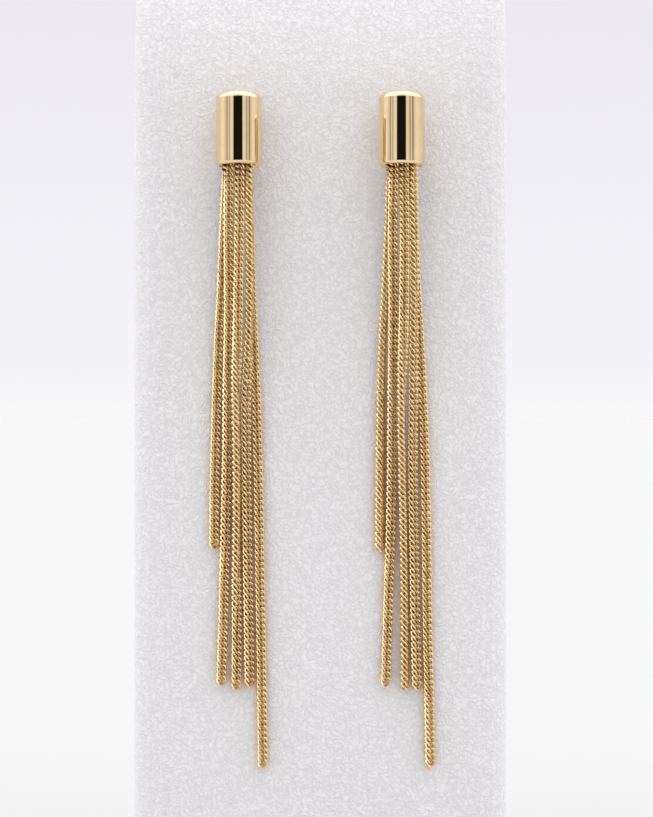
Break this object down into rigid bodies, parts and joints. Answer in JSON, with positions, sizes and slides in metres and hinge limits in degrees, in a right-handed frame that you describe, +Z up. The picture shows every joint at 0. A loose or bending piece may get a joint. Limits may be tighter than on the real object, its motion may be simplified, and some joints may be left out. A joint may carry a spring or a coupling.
{
  "type": "pair of tassel drop earrings on a flocked display stand",
  "caption": "Gold-tone drop earrings, each a polished cap with fine curb chains of stepped length, pinned as a pair on an upright white flocked stand with a rounded top.",
  "frame": {"origin": "centre of the whole object's footprint, on the surface the stand rests on", "axes": "+Z up, the stand's front with the earrings faces -Y, and +X is to the viewer's right"},
  "size_m": [0.0494, 0.0464, 0.147],
  "materials": {
    "stand_flock": "white short-pile flocking",
    "cap_gold": "polished pale gold plating",
    "chain_gold": "bright gold plated curb chain"
  },
  "bodies": {
    "root": {"display_stand": "stand_flock", "left_cap_and_post": "cap_gold", "left_chain_1": "chain_gold", "left_chain_2": "chain_gold", "left_chain_3": "chain_gold", "left_chain_4": "chain_gold", "left_chain_5": "chain_gold", "right_cap_and_post": "cap_gold", "right_chain_1": "chain_gold", "right_chain_2": "chain_gold", "right_chain_3": "chain_gold", "right_chain_4": "chain_gold", "right_chain_5": "chain_gold"}
  },
  "joints": []
}
